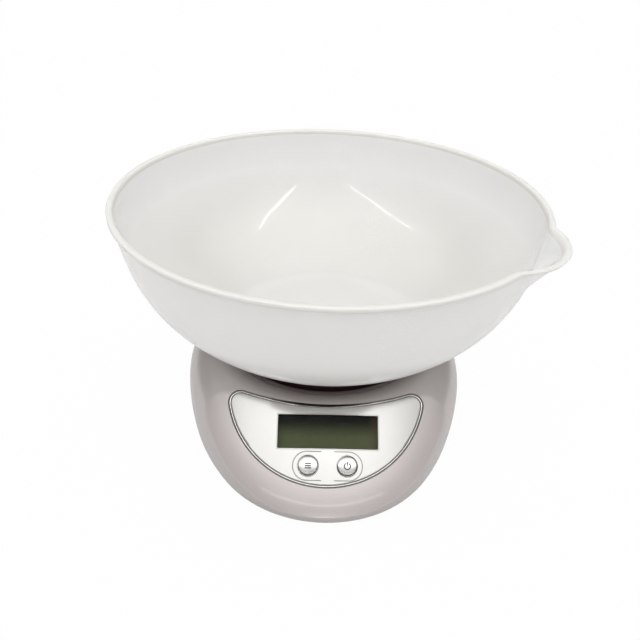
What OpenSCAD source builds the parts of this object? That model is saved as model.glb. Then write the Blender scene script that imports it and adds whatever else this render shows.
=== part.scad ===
// Digital kitchen scale with a mixing bowl. Millimetres, +Z up, front towards -Y.
// The origin is on the floor under the axis of the weighing platform and the bowl.

/* [Base] */
// Radius of the base plan around the platform axis
base_r = 76.2; // [70:0.2:90]
// How much smaller the round of the nose is than the round of the back
taper = 13; // [10:0.5:16]
// Height of the flat top of the base above the floor
base_top = 44.2; // [40:0.2:56]
// Height of the parting line between the two housings
seam_z = 8; // [7:0.5:9]
// Wall of the mouldings
wall = 2.2; // [1.8:0.1:2.6]
// Height of the underside of the base above the floor
floor_gap = 2; // [1.6:0.1:3]

/* [Display panel] */
// Slope of the display facet, degrees
facet_slope = 41; // [36:0.5:44]
// Distance from the platform axis forward to the top edge of the facet
facet_y = 63; // [60:0.5:70]
// Radius of the side to side crown of the facet
crown_r = 180; // [150:1:300]
// Radius of the rolled shoulder that runs round the panel
roll_r = 55; // [45:1:90]
// Half width of the crescent panel
panel_half = 49; // [46:0.5:50]
// Length of the crescent panel down the slope
panel_len = 39; // [36:0.5:41]
// Width of the display window
window_w = 48; // [40:0.5:50]
// Height of the display window, along the slope
window_h = 16; // [12:0.5:18]
// Distance from the facet top down to the middle of the display window
window_s = 12.9; // [11:0.1:14]
// Sideways place of the window and the pair of buttons
display_x = 0.8; // [-2:0.1:2]
// Diameter of a button
button_d = 9.2; // [8:0.1:11]
// Distance between the two button centres
button_pitch = 18.4; // [15:0.1:24]
// Distance from the facet top down to the button centres
button_s = 28.8; // [28:0.1:30]
// How far a button can be pressed
button_travel = 0.6; // [0.3:0.05:0.8]

/* [Bowl] */
// Outer radius of the bowl rim
bowl_r = 105.8; // [98:0.2:115]
// Height of the rim above the floor
rim_z = 126; // [118:0.5:140]
// Wall of the bowl
bowl_wall = 1.8; // [1.4:0.1:2.4]
// Outer radius of the ring the bowl stands on
foot_r = 49; // [46:0.5:50]
// Height of the thickened lip of the rim
lip_h = 2; // [1.4:0.1:3]
// How far the lip stands out from the wall
lip_out = 1.1; // [0.6:0.1:2]
// Direction of the pouring spout, degrees from the right hand side
spout_dir = -33; // [-60:1:0]
// How far the spout reaches beyond the rim
spout_reach = 9.4; // [6:0.2:16]
// Radius of the spout cone at the rim
spout_r = 33; // [28:0.5:44]
// Height of the spout cone below the rim
spout_h = 34; // [24:1:44]

/* [Weighing parts] */
// Radius of the platform pan
pan_r = 52.5; // [50:0.25:54]
// Free play around the pan in its opening
pan_gap = 1.5; // [1:0.1:2.5]
// Height of the pan surface above the base top
pan_rise = 2.3; // [1.8:0.1:4]
// Travel of the platform under full load
pan_travel = 0.8; // [0.4:0.1:1]
// Length of the load cell bar
cell_len = 80; // [70:1:84]
// Thickness and width of the load cell bar
cell_t = 12.7; // [10:0.1:14]

/* [Batteries] */
// Diameter of a battery
cell_d = 10.4; // [10:0.1:10.6]
// Length of a battery
cell_l = 43.6; // [42:0.1:44.5]

/* [Hidden] */
$fn = 96;
// Egg shaped plan of four arcs that flow into each other: the back round about the platform axis,
// the two flatter sides, which start beside the axis, and the nose. The sides meet the nose in the
// directions of a 3, 4, 5 triangle, so every centre and radius follows from the taper.
nose_y = 3 * taper;
nose_r = base_r - taper;
side_x = 4 * taper;
seam_gap = 0.12;
fit = 0.15;
overlay_t = 0.5;
recess_t = 0.6;
// Battery bay
bay_x = cell_l + 7.4;
bay_y = 2 * cell_d + 3.2;
bay_cy = base_r - 40.2;
bay_top = floor_gap + 3.2 + cell_d + 1.2;
bay_wall = 1.6;
door_t = 1.8;
lead_x = 12;
door_gap = 0.35;
door_x = bay_x - 2.4;
door_y = bay_y + 3;
hinge_y = bay_cy - bay_y / 2 - 0.4;
hinge_z = floor_gap + 1.6;
hinge_r = 1.1;
cell_z = floor_gap + door_t + 0.9 + cell_d / 2;
cell_dy = cell_d / 2 + 0.35;
// Load cell and platform stack, from the floor up
cell_bot = 17;
cell_topz = cell_bot + cell_t;
split_x = 16;
carrier_z = cell_topz + 3;
carrier_t = 2.5;
carrier_r = pan_r - 6.5;
pan_z = base_top + pan_rise;
pan_t = 2.6;
skirt_t = 2.2;
open_r = pan_r + pan_gap;
locate_h = 1.2;
locate_r = foot_r - 4.8;
foot_z = pan_z;
well_bot = base_top - 8;
hold_x = [-34, -25];
free_x = [24.5, 34];
// Display stack, measured down from the facet surface
glass_w = window_w + 6;
glass_h = window_h + 4.6;
glass_top = 5;
glass_t = 2;
board_top = 9.1;
board_t = 1.6;
board_w = 70;
board_s0 = 1.6;
board_s1 = 36.6;
stem_bot = board_top - 3.1 - button_travel - 0.15;
boss_r = 3.7;
screw_pts = [for (s = [1, -1]) [s * (base_r - 32.2), base_r - 29.2],
    for (s = [1, -1]) [s * (nose_r - 13.2), -nose_y - 17]];
feet_pts = [for (s = [1, -1]) [s * (base_r - 22.2), 26],
    for (s = [1, -1]) [s * (nose_r - 25.2), -nose_y - 33]];
board_pts = [[-29, 30.5], [29, 30.5]];

// Outer line of the base wall: how far in from the plan edge, and how high
function wall_line() = [
    [0.7, seam_z],
    [0.15, seam_z + 5],
    [0, seam_z + 11],
    [0.5, base_top - 16],
    [1.7, base_top - 12],
    [3.9, base_top - 8.2],
    [7.4, base_top - 4.8],
    [12, base_top - 2.2],
    [17, base_top - 0.7],
    [21.5, base_top]
];
function tray_line() = [
    [6.2, floor_gap],
    [3.4, floor_gap + 0.7],
    [1.7, floor_gap + 2.3],
    [0.9, floor_gap + 4.2],
    [0.7, seam_z]
];
function drop(line, inset, dz) = [for (p = line) [p[0] + inset, p[1] + dz]];

// The line turned about one centre of the plan, kept inside one sector of it
module sector(line, r, centre, corners) {
    z0 = line[0][1];
    z1 = line[len(line) - 1][1];
    intersection() {
        translate([centre[0], centre[1], 0])
            rotate_extrude($fn = 128)
                polygon(concat([[0, z0]], [for (p = line) [r - p[0], p[1]]], [[0, z1]]));
        translate([0, 0, z0 - 1])
            linear_extrude(z1 - z0 + 2)
                polygon(corners);
    }
}
// Egg shaped plan: the line is swept along all four arcs
module swept(line, r1) {
    far = 200;
    meet = [0.8 * far, -nose_y - 0.6 * far];
    sector(line, r1, [0, 0], [[far, 0], [far, far], [-far, far], [-far, 0]]);
    for (s = [-1, 1])
        sector(line, r1 + side_x, [-s * side_x, 0],
            [[0, 0], [s * far, 0], [s * far, -far], [s * meet[0], meet[1]], [0, -nose_y]]);
    sector(line, r1 - taper, [0, -nose_y],
        [[0, -nose_y], meet, [far, -2 * far], [-far, -2 * far], [-meet[0], meet[1]]]);
}

// Tangents of the rolled shoulder: where each leaves the crowned facet and how steeply
roll_from = panel_half + 2;
function roll_steps() = [for (d = [5, 10.5]) [roll_from + d / 2, d / roll_r]];

// Frame of the display facet: x to the right, y up the slope, z out of the surface
module on_facet() {
    translate([0, -facet_y, base_top - 0.2])
        rotate([facet_slope, 0, 0])
            children();
}
// Barrel that meets the crowned facet in a circle about the panel arc and falls away outside it
module barrel(from, slope, t) {
    lift = from * slope / 2;
    fall = crown_r - sqrt(crown_r * crown_r - from * from) + lift;
    r = (from * from + fall * fall) / (2 * fall);
    translate([0, panel_half - panel_len, lift - r])
        rotate([90, 0, 0])
            rotate_extrude($fn = 120)
                polygon(concat([[0, -112]],
                    [for (y = [-112:16:112]) [r - t - y * y * slope / (2 * from), y]], [[0, 112]]));
}
// Everything under the crowned facet and its rolled shoulder, lowered by t
module under_crown(t) {
    on_facet()
        intersection() {
            translate([0, 130, -crown_r])
                rotate([90, 0, 0])
                    cylinder(h = 260, r = crown_r - t, $fn = 180);
            for (b = roll_steps())
                barrel(b[0], b[1], t);
        }
}
// Skin of the facet between two depths
module crown_skin(t0, t1) {
    on_facet()
        translate([0, 70, -crown_r])
            rotate([90, 0, 0])
                difference() {
                    cylinder(h = 140, r = crown_r - t0, $fn = 180);
                    translate([0, 0, -1])
                        cylinder(h = 142, r = crown_r - t1, $fn = 180);
                }
}
// Points along an arc, clockwise or counter clockwise as the angles run
function arc(cx, cy, r, a0, a1, n) = [for (i = [0:n]) [cx + r * cos(a0 + (a1 - a0) * i / n),
    cy + r * sin(a0 + (a1 - a0) * i / n)]];
// Crescent outline: wide arc below, hollow arc above, round corners
module crescent(inset) {
    corner = 6 - inset;
    big = panel_half - inset;
    low = -(panel_len - panel_half);
    hollow = 124;
    edge = hollow + inset;
    // The corner circle touches the wide arc inside and the hollow arc outside
    a = edge + corner;
    b = big - corner;
    top = hollow;
    dist = top - low;
    cy = (b * b - a * a + dist * dist) / (2 * dist);
    cx = sqrt(b * b - cy * cy);
    c_x = cx;
    c_y = low + cy;
    out_a = atan2(cy, cx);
    in_a = atan2(top - c_y, -c_x);
    polygon(concat(
        arc(0, low, big, -180 - out_a, out_a, 64),
        arc(c_x, c_y, corner, out_a, in_a, 12),
        [for (i = [1:23]) let (t = -90 + (atan2(-(top - c_y), c_x) + 90) * (1 - 2 * i / 24))
            [edge * cos(t), top + edge * sin(t)]],
        arc(-c_x, c_y, corner, 180 - in_a, 180 - out_a, 12)
    ));
}
module slab(cx, cy, w, h, z0, z1, r) {
    translate([cx, cy, z0])
        linear_extrude(z1 - z0)
            rounded(w, h, r);
}
module rounded(w, h, r) {
    square([w - 2 * r, h], center = true);
    square([w, h - 2 * r], center = true);
    for (x = [-1, 1], y = [-1, 1])
        translate([x * (w / 2 - r), y * (h / 2 - r)])
            circle(r = r, $fn = 24);
}
module tube(r1, r2, z0, z1) {
    translate([0, 0, z0])
        difference() {
            cylinder(h = z1 - z0, r = r1);
            translate([0, 0, -1])
                cylinder(h = z1 - z0 + 2, r = r2);
        }
}
module rod(x, y, z0, z1, r) {
    translate([x, y, z0])
        cylinder(h = z1 - z0, r = r, $fn = 40);
}

// Tray that carries the load cell, the battery bay and the feet
module lower_housing() {
    color([0.70, 0.66, 0.68])
        difference() {
            union() {
                difference() {
                    swept(tray_line(), base_r);
                    swept([[wall + 4.4, floor_gap + wall], [wall + 1.6, floor_gap + wall + 0.9],
                        [wall + 0.7, seam_z + 1]], base_r);
                }
                // Tongue that centres the upper housing
                difference() {
                    swept([[wall + 0.9, seam_z - 1.2], [wall + 0.9, seam_z + 1.6]], base_r);
                    swept([[wall + 2.1, seam_z - 1.4], [wall + 2.1, seam_z + 1.8]], base_r);
                }
                for (p = screw_pts)
                    rod(p[0], p[1], floor_gap + 1, seam_z + 2, boss_r + 0.6);
                // Battery bay walls and roof
                translate([-bay_x / 2 - bay_wall, bay_cy - bay_y / 2 - bay_wall, floor_gap + 1])
                    cube([bay_x + 2 * bay_wall, bay_y + 2 * bay_wall, bay_top - floor_gap - 1 + bay_wall]);
                // Pedestal of the load cell with its gussets
                translate([-cell_len / 2 - 1, -cell_t / 2 - 2, floor_gap + 1])
                    cube([23, cell_t + 4, cell_bot - 2 - floor_gap - 1]);
                for (x = [-36, -29.5, -23])
                    translate([x - 0.9, -cell_t / 2 - 7, floor_gap + 1])
                        cube([1.8, cell_t + 14, 6]);
                // Overload stop under the free end
                rod(29, 0, floor_gap + 1, cell_bot - pan_travel - 0.5, 4.4);
                for (a = [0, 90])
                    translate([29, 0, floor_gap + 1])
                        rotate([0, 0, a])
                            translate([-8, -0.9, 0])
                                cube([16, 1.8, 5]);
                // Stiffening ribs on the tray floor
                for (x = [-56, 56])
                    translate([x - 0.8, -34, floor_gap + 1])
                        cube([1.6, 46, 4.4]);
                for (x = [-14, 14])
                    translate([x - 0.8, -84, floor_gap + 1])
                        cube([1.6, 62, 4.4]);
                translate([-50, -24.8, floor_gap + 1])
                    cube([100, 1.6, 4.4]);
            }
            // Screw clearance and head pockets
            for (p = screw_pts) {
                rod(p[0], p[1], floor_gap - 1, floor_gap + 3.4, 3);
                rod(p[0], p[1], floor_gap, seam_z + 4, 1.7);
            }
            for (x = hold_x) {
                rod(x, 0, floor_gap - 1, floor_gap + 5, 4);
                rod(x, 0, floor_gap, cell_bot, 2.3);
            }
            // Seats of the feet
            for (p = feet_pts)
                rod(p[0], p[1], floor_gap - 1, floor_gap + 1.2, 6.2);
            // Battery bay, open below
            translate([-bay_x / 2, bay_cy - bay_y / 2, floor_gap - 1])
                cube([bay_x, bay_y, bay_top - floor_gap + 1]);
            // Door opening with its seat
            translate([-door_x / 2 - door_gap, bay_cy - door_y / 2 - door_gap, floor_gap - 1])
                cube([door_x + 2 * door_gap, door_y + 2 * door_gap, 1 + door_t + 0.2]);
            // Hinge eyes and room for the door to swing
            translate([-door_x / 2 - door_gap, hinge_y - 3.6, floor_gap - 1])
                cube([door_x + 2 * door_gap, 4.2, hinge_z - floor_gap + 1 + 2.6]);
            translate([-door_x / 2 - 2.2, hinge_y, hinge_z])
                rotate([0, 90, 0])
                    cylinder(h = door_x + 4.4, r = hinge_r + 0.3, $fn = 32);
            // Slot for the door latch
            translate([-6, bay_cy + bay_y / 2 - 1, floor_gap + door_t])
                cube([12, 4.2, 2.6]);
            // Wire notches in the bay wall
            for (x = [-1, 1])
                translate([x * lead_x - 1.5, bay_cy - bay_y / 2 - bay_wall - 1, bay_top - 5.2])
                    cube([3, bay_wall + 2, 4.6]);
        }
}

// Outer cover with the sloped display facet and the platform well
module upper_housing() {
    color([0.74, 0.70, 0.72])
        difference() {
            union() {
                difference() {
                    intersection() {
                        swept(wall_line(), base_r);
                        under_crown(0);
                    }
                    intersection() {
                        union() {
                            swept(drop(wall_line(), wall, -wall), base_r);
                            translate([0, 0, seam_z - wall - 1])
                                cylinder(h = 2, r = 20);
                        }
                        under_crown(wall);
                    }
                    // Groove over the tongue of the tray
                    swept([[wall + 0.9 - seam_gap, seam_z - 1], [wall + 0.9 - seam_gap, seam_z + 1.8]],
                        base_r);
                }
                // Wall of the platform well
                intersection() {
                    tube(open_r + 2, open_r - 1, well_bot, base_top - wall / 2);
                    under_crown(0.4);
                }
                // Screw bosses up to the inside of the cover
                intersection() {
                    union() {
                        for (p = screw_pts)
                            rod(p[0], p[1], seam_z + 2, base_top - 0.4, boss_r);
                    }
                    under_crown(0.6);
                    swept(drop(wall_line(), 0.8, -0.8), base_r);
                }
                // Board posts under the facet
                intersection() {
                    on_facet()
                        for (p = board_pts)
                            rod(display_x + p[0], -p[1], -board_top, 0, 2.6);
                    under_crown(0.8);
                    swept(drop(wall_line(), 0.8, -0.8), base_r);
                }
                // Sleeves around the buttons
                intersection() {
                    on_facet()
                        for (x = [-1, 1])
                            translate([display_x + x * button_pitch / 2, -button_s, -4.6])
                                difference() {
                                    cylinder(h = 4, r = button_d / 2 + 3.2, $fn = 48);
                                    translate([0, 0, -1])
                                        cylinder(h = 6, r = button_d / 2 + 2, $fn = 48);
                                }
                    under_crown(0.8);
                }
            }
            // Platform opening
            translate([0, 0, well_bot - 1])
                cylinder(h = 20, r = open_r);
            // Crescent recess of the panel
            intersection() {
                on_facet()
                    translate([0, 0, -20])
                        linear_extrude(40)
                            crescent(0);
                crown_skin(-3, recess_t);
            }
            // Window: seat of the pane, then the clear opening
            intersection() {
                on_facet()
                    slab(display_x, -window_s, window_w, window_h, -20, 20, 0.6);
                crown_skin(-3, 1.65);
            }
            on_facet()
                slab(display_x, -window_s, window_w - 2.4, window_h - 2.4, -8, 6, 0.6);
            // Button holes
            on_facet()
                for (x = [-1, 1])
                    translate([display_x + x * button_pitch / 2, -button_s, -3.9])
                        cylinder(h = 9, r = button_d / 2 + 0.3, $fn = 64);
            // Screw bores
            for (p = screw_pts)
                rod(p[0], p[1], seam_z + 1, seam_z + 15, 1.35);
            on_facet()
                for (p = board_pts)
                    rod(display_x + p[0], -p[1], -board_top - 1, -board_top + 4.4, 0.95);
        }
}

// Silver crescent sheet lying in the recess
module panel_overlay() {
    color([0.86, 0.86, 0.85])
        difference() {
            intersection() {
                on_facet()
                    translate([0, 0, -20])
                        linear_extrude(40)
                            crescent(fit);
                crown_skin(recess_t - overlay_t, recess_t);
            }
            on_facet()
                slab(display_x, -window_s, window_w, window_h, -20, 20, 0.6);
            on_facet()
                for (x = [-1, 1])
                    translate([display_x + x * button_pitch / 2, -button_s, -6])
                        cylinder(h = 12, r = button_d / 2 + 0.4, $fn = 64);
        }
}

// Clear pane seated in the window
module lcd_window() {
    color([0.80, 0.85, 0.82])
        intersection() {
            on_facet()
                slab(display_x, -window_s, window_w - 2 * fit, window_h - 2 * fit, -20, 20, 0.5);
            crown_skin(0.75, 1.65);
        }
}

// Liquid crystal cell: two glass plates, the lower one longer at both edges
module lcd_glass() {
    color([0.30, 0.34, 0.26])
        on_facet() {
            slab(display_x, -window_s, glass_w - 0.4, glass_h - 4.6, -glass_top - 1.1, -glass_top, 0.3);
            slab(display_x, -window_s, glass_w - 0.4, glass_h - 0.4, -glass_top - glass_t,
                -glass_top - 1.1, 0.3);
        }
}

// Frame that holds the glass and the contact strips on the board
module lcd_frame() {
    color([0.92, 0.92, 0.90])
        on_facet()
            difference() {
                union() {
                    slab(display_x, -window_s, glass_w + 2.8, glass_h + 2.4, -board_top, -glass_top - 0.2, 1);
                    for (x = [-1, 1])
                        translate([display_x + x * (glass_w / 2 + 1.4) - 1.6, -window_s - 3, -board_top - board_t])
                            cube([3.2, 6, 3]);
                }
                slab(display_x, -window_s, glass_w, glass_h, -board_top - 1, 0, 0.4);
                for (x = [-1, 1])
                    translate([display_x + x * (glass_w / 2 - 1.6) - 1.6, -window_s - 4, -board_top - board_t - 1])
                        cube([3.2, 8, board_t + 1]);
            }
}

// Conducting rubber strips between the glass edges and the board
module zebra_strips() {
    color([0.16, 0.16, 0.17])
        on_facet()
            for (y = [-1, 1]) {
                translate([display_x - glass_w / 2 + 1.2, -window_s + y * (glass_h / 2 - 1.5) - 0.4, -board_top])
                    cube([glass_w - 2.4, 0.8, board_top - glass_top - glass_t]);
                for (s = [-1, 1])
                    translate([display_x - glass_w / 2 + 1.2,
                        -window_s + y * (glass_h / 2 - 1.5) + s * 0.65 - 0.25, -board_top])
                        cube([glass_w - 2.4, 0.5, board_top - glass_top - glass_t]);
            }
}

// Board under the facet, with notches for the frame hooks
module circuit_board() {
    color([0.10, 0.33, 0.20])
        on_facet()
            difference() {
                slab(display_x, -(board_s0 + board_s1) / 2, board_w, board_s1 - board_s0,
                    -board_top - board_t, -board_top, 2);
                for (x = [-1, 1])
                    translate([display_x + x * (glass_w / 2 + 1.4) - 1.9, -window_s - 3.3, -board_top - board_t - 1])
                        cube([3.8, 6.6, board_t + 2]);
                for (p = board_pts)
                    rod(display_x + p[0], -p[1], -board_top - board_t - 1, -board_top + 1, 1.2);
                for (x = [-8, -4, 4, 8])
                    rod(display_x + x, -board_s1 + 2.2, -board_top - board_t - 1, -board_top + 1, 0.5);
            }
}

// Bonded chip under its resin drop, with the small parts round it
module chip_blob() {
    color([0.06, 0.06, 0.07])
        on_facet() {
            translate([display_x, -window_s, -board_top - board_t])
                intersection() {
                    translate([0, 0, 14.6])
                        sphere(r = 16, $fn = 64);
                    translate([0, 0, -2])
                        cylinder(h = 2, r = 9, $fn = 48);
                }
            for (p = [[-18, -4], [-18, 1], [-18, 6], [15, -6], [15, -1], [20, 4]])
                translate([display_x + p[0] - 1.6, -window_s + p[1] - 0.8, -board_top - board_t - 0.8])
                    cube([3.2, 1.6, 0.8]);
            translate([display_x + 22, -window_s - 8, -board_top - board_t - 3])
                cylinder(h = 3, r = 3, $fn = 40);
        }
}

// Two push switches on the board, under the buttons
module tact_switches() {
    color([0.22, 0.22, 0.24])
        on_facet()
            for (x = [-1, 1])
                translate([display_x + x * button_pitch / 2, -button_s, -board_top]) {
                    translate([-3, -3, 0])
                        cube([6, 6, 1.9]);
                    cylinder(h = 3.1, r = 1.7, $fn = 32);
                    for (sx = [-1, 1], sy = [-1, 1])
                        translate([sx * 3.5 - 0.6, sy * 1.9 - 0.4, 0])
                            cube([1.2, 0.8, 0.5]);
                }
}

// Button cap: domed head, collar that keeps it in, stem to the switch
module cap(x) {
    on_facet()
        translate([display_x + x, -button_s, 0]) {
            translate([0, 0, -3.4])
                intersection() {
                    cylinder(h = 5, r = button_d / 2, $fn = 64);
                    translate([0, 0, 3.4 + 0.9 - 18])
                        sphere(r = 18, $fn = 96);
                }
            translate([0, 0, -4.3])
                cylinder(h = 1, r = button_d / 2 + 1.4, $fn = 64);
            translate([0, 0, -stem_bot])
                cylinder(h = stem_bot - 4, r = 1.6, $fn = 32);
        }
}
module unit_button() {
    color([0.78, 0.78, 0.78])
        cap(-button_pitch / 2);
}
module power_button() {
    color([0.78, 0.78, 0.79])
        cap(button_pitch / 2);
}

// Small self tapping screw pointing along +z, head at the bottom
module screw(head_r, head_h, shank_r, shank_l) {
    difference() {
        union() {
            cylinder(h = head_h, r = head_r, $fn = 40);
            cylinder(h = head_h + shank_l, r = shank_r, $fn = 32);
        }
        translate([-head_r * 0.55, -0.3, -0.1])
            cube([head_r * 1.1, 0.6, head_h * 0.5 + 0.1]);
        translate([-0.3, -head_r * 0.55, -0.1])
            cube([0.6, head_r * 1.1, head_h * 0.5 + 0.1]);
    }
}
module board_screws() {
    color([0.62, 0.62, 0.64])
        on_facet()
            for (p = board_pts)
                translate([display_x + p[0], -p[1], -board_top - board_t - 1.2])
                    screw(2, 1.2, 0.9, board_t + 4);
}
module housing_screws() {
    color([0.60, 0.60, 0.62])
        for (p = screw_pts)
            translate([p[0], p[1], floor_gap + 1.5])
                screw(2.7, 1.9, 1.3, 17);
}
module cell_screws() {
    color([0.60, 0.60, 0.62])
        for (x = hold_x)
            translate([x, 0, floor_gap + 1.5])
                screw(3.6, 3.5, 2, cell_bot + 8 - floor_gap - 5);
}
module carrier_screws() {
    color([0.60, 0.60, 0.62])
        for (x = free_x)
            translate([x, 0, carrier_z + carrier_t + 2.4])
                mirror([0, 0, 1])
                    screw(3.4, 2.4, 2, carrier_t + 3 + 8);
}

// Milled aluminium bar: the twin bores leave four thin bending webs
module bar_body(x0, x1) {
    translate([x0, -cell_t / 2, cell_bot])
        cube([x1 - x0, cell_t, cell_t]);
}
module load_cell() {
    color([0.78, 0.79, 0.80])
        difference() {
            bar_body(-cell_len / 2, split_x);
            for (x = [-7.5, 7.5])
                translate([x, cell_t / 2 + 1, cell_bot + cell_t / 2])
                    rotate([90, 0, 0])
                        cylinder(h = cell_t + 2, r = cell_t / 2 - 1.3, $fn = 64);
            translate([-7.5, -cell_t / 2 - 1, cell_bot + cell_t / 2 - 1.6])
                cube([15, cell_t + 2, 3.2]);
            for (x = hold_x)
                rod(x, 0, cell_bot - 1, cell_bot + 10, 2.1);
        }
}
module load_cell_free_end() {
    color([0.78, 0.79, 0.80])
        difference() {
            bar_body(split_x, cell_len / 2);
            for (x = free_x)
                rod(x, 0, cell_topz - 9.5, cell_topz + 1, 2.1);
        }
}
// Strain gauges bonded over the webs, above and below
module strain_gauges() {
    color([0.72, 0.50, 0.16])
        for (x = [-7.5, 7.5]) {
            translate([x - 3, -2.5, cell_topz])
                cube([6, 5, 0.3]);
            translate([x - 3, -2.5, cell_bot - 0.3])
                cube([6, 5, 0.3]);
            translate([x - 1.2, -4.4, cell_topz])
                cube([2.4, 1.9, 0.8]);
        }
}
// Steel plate that lifts the bar off the pedestal
module cell_spacer() {
    color([0.55, 0.56, 0.58])
        difference() {
            translate([-cell_len / 2, -cell_t / 2, cell_bot - 2])
                cube([20.5, cell_t, 2]);
            for (x = hold_x)
                rod(x, 0, cell_bot - 3, cell_bot + 1, 2.3);
        }
}

// Ribbed disc that spreads the load from the free end of the bar
module platform_carrier() {
    color([0.32, 0.32, 0.34])
        difference() {
            union() {
                translate([0, 0, carrier_z])
                    cylinder(h = carrier_t, r = carrier_r);
                translate([split_x + 2, -cell_t / 2 - 1.5, cell_topz])
                    cube([cell_len / 2 - split_x - 2 + 1.5, cell_t + 3, 3.2]);
                for (a = [0, 60, 120])
                    rotate([0, 0, a + 30])
                        translate([-carrier_r + 2, -0.9, carrier_z])
                            cube([2 * carrier_r - 4, 1.8, carrier_t + 3]);
                tube(carrier_r, carrier_r - 1.8, carrier_z, carrier_z + carrier_t + 3);
                for (a = [45:90:315])
                    rotate([0, 0, a])
                        rod(34, 0, carrier_z + 1, pan_z - pan_t, 3.4);
            }
            for (x = free_x) {
                rod(x, 0, cell_topz - 1, carrier_z + carrier_t + 5, 2.3);
                rod(x, 0, carrier_z + carrier_t, carrier_z + carrier_t + 5, 4);
            }
            for (a = [45:90:315])
                rotate([0, 0, a])
                    rod(34, 0, pan_z - pan_t - 6, pan_z - pan_t + 1, 1.7);
        }
}

// Round weighing pan: locating disc for the bowl, skirt down into the well
module platform_pan() {
    color([0.66, 0.62, 0.64])
        difference() {
            union() {
                translate([0, 0, pan_z - pan_t])
                    cylinder(h = pan_t, r = pan_r);
                translate([0, 0, pan_z - 0.4])
                    cylinder(h = locate_h + 0.4, r = locate_r);
                tube(pan_r, pan_r - skirt_t, well_bot + 2.6, pan_z - 1);
                // Pegs that press into the carrier posts
                for (a = [45:90:315])
                    rotate([0, 0, a])
                        rod(34, 0, pan_z - pan_t - 5.4, pan_z - 1, 1.65);
                for (a = [0, 45, 90, 135])
                    rotate([0, 0, a])
                        translate([-pan_r + 1.5, -0.8, pan_z - pan_t - 2])
                            cube([2 * pan_r - 3, 1.6, 2.4]);
            }
            for (a = [45:90:315])
                rotate([0, 0, a])
                    tube_cut(34);
            // Drain grooves across the locating disc
            for (a = [0, 90])
                rotate([0, 0, a])
                    translate([-locate_r - 1, -1, pan_z + locate_h - 0.5])
                        cube([2 * locate_r + 2, 2, 1]);
        }
}
// Room for the head of a carrier post around its peg
module tube_cut(x) {
    translate([x, 0, pan_z - pan_t - 3])
        difference() {
            cylinder(h = 3, r = 3.7, $fn = 40);
            translate([0, 0, -1])
                cylinder(h = 5, r = 1.65, $fn = 40);
        }
}

// Bowl: outer line from the foot to the rim, the lip added on the outside
function bowl_line(o) = [
    [foot_r + 3 - o * 1.2, foot_z + 0.9 + o * 1.45],
    [foot_r + 7 - o * 0.8, foot_z + 3.2 + o * 1.15],
    [bowl_r * 0.662 - o * 0.75, foot_z + (rim_z - foot_z) * 0.185 + o * 1],
    [bowl_r * 0.761 - o * 0.8, foot_z + (rim_z - foot_z) * 0.295 + o * 0.9],
    [bowl_r * 0.835 - o * 0.85, foot_z + (rim_z - foot_z) * 0.400 + o * 0.7],
    [bowl_r * 0.888 - o * 0.9, foot_z + (rim_z - foot_z) * 0.505 + o * 0.6],
    [bowl_r * 0.925 - o * 0.95, foot_z + (rim_z - foot_z) * 0.610 + o * 0.4],
    [bowl_r * 0.950 - o, foot_z + (rim_z - foot_z) * 0.715 + o * 0.2],
    [bowl_r * 0.970 - o, foot_z + (rim_z - foot_z) * 0.840],
    [bowl_r - lip_out - o, rim_z]
];
// Leaning wall of the spout, drawn in by t and carried over the rim by more
module spout_cone(t, more) {
    rotate([0, 0, spout_dir])
        translate([bowl_r + spout_reach - spout_r, 0, rim_z - spout_h])
            cylinder(h = spout_h + more, r1 = spout_r * 0.3 - t,
                r2 = spout_r - t + more * spout_r * 0.7 / spout_h, $fn = 128);
}
module bowl() {
    color([0.90, 0.89, 0.87])
        difference() {
            union() {
                rotate_extrude($fn = 128)
                    polygon(concat([[0, foot_z + 1.5], [foot_r - 4, foot_z + 1.5], [foot_r - 4, foot_z],
                        [foot_r, foot_z]], bowl_line(0), [[0, rim_z]]));
                spout_cone(lip_out, 0);
                // Thickened lip round the rim and the spout
                translate([0, 0, rim_z - lip_h])
                    cylinder(h = lip_h, r = bowl_r, $fn = 128);
                rotate([0, 0, spout_dir])
                    translate([bowl_r + spout_reach - spout_r, 0, rim_z - lip_h])
                        cylinder(h = lip_h, r = spout_r, $fn = 128);
            }
            rotate_extrude($fn = 128)
                polygon(concat([[0, foot_z + 1.5 + bowl_wall], [foot_r - 3, foot_z + 1.5 + bowl_wall]],
                    bowl_line(bowl_wall), [[bowl_r - lip_out - bowl_wall + 0.02, rim_z + 1], [0, rim_z + 1]]));
            spout_cone(lip_out + bowl_wall, 1);
        }
}

module rubber_feet() {
    color([0.20, 0.20, 0.21])
        for (p = feet_pts)
            difference() {
                union() {
                    rod(p[0], p[1], 0.6, floor_gap + 1.2, 6);
                    rod(p[0], p[1], 0, 0.7, 5.4);
                }
                rod(p[0], p[1], -1, 0.5, 3.4);
            }
}

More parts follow.
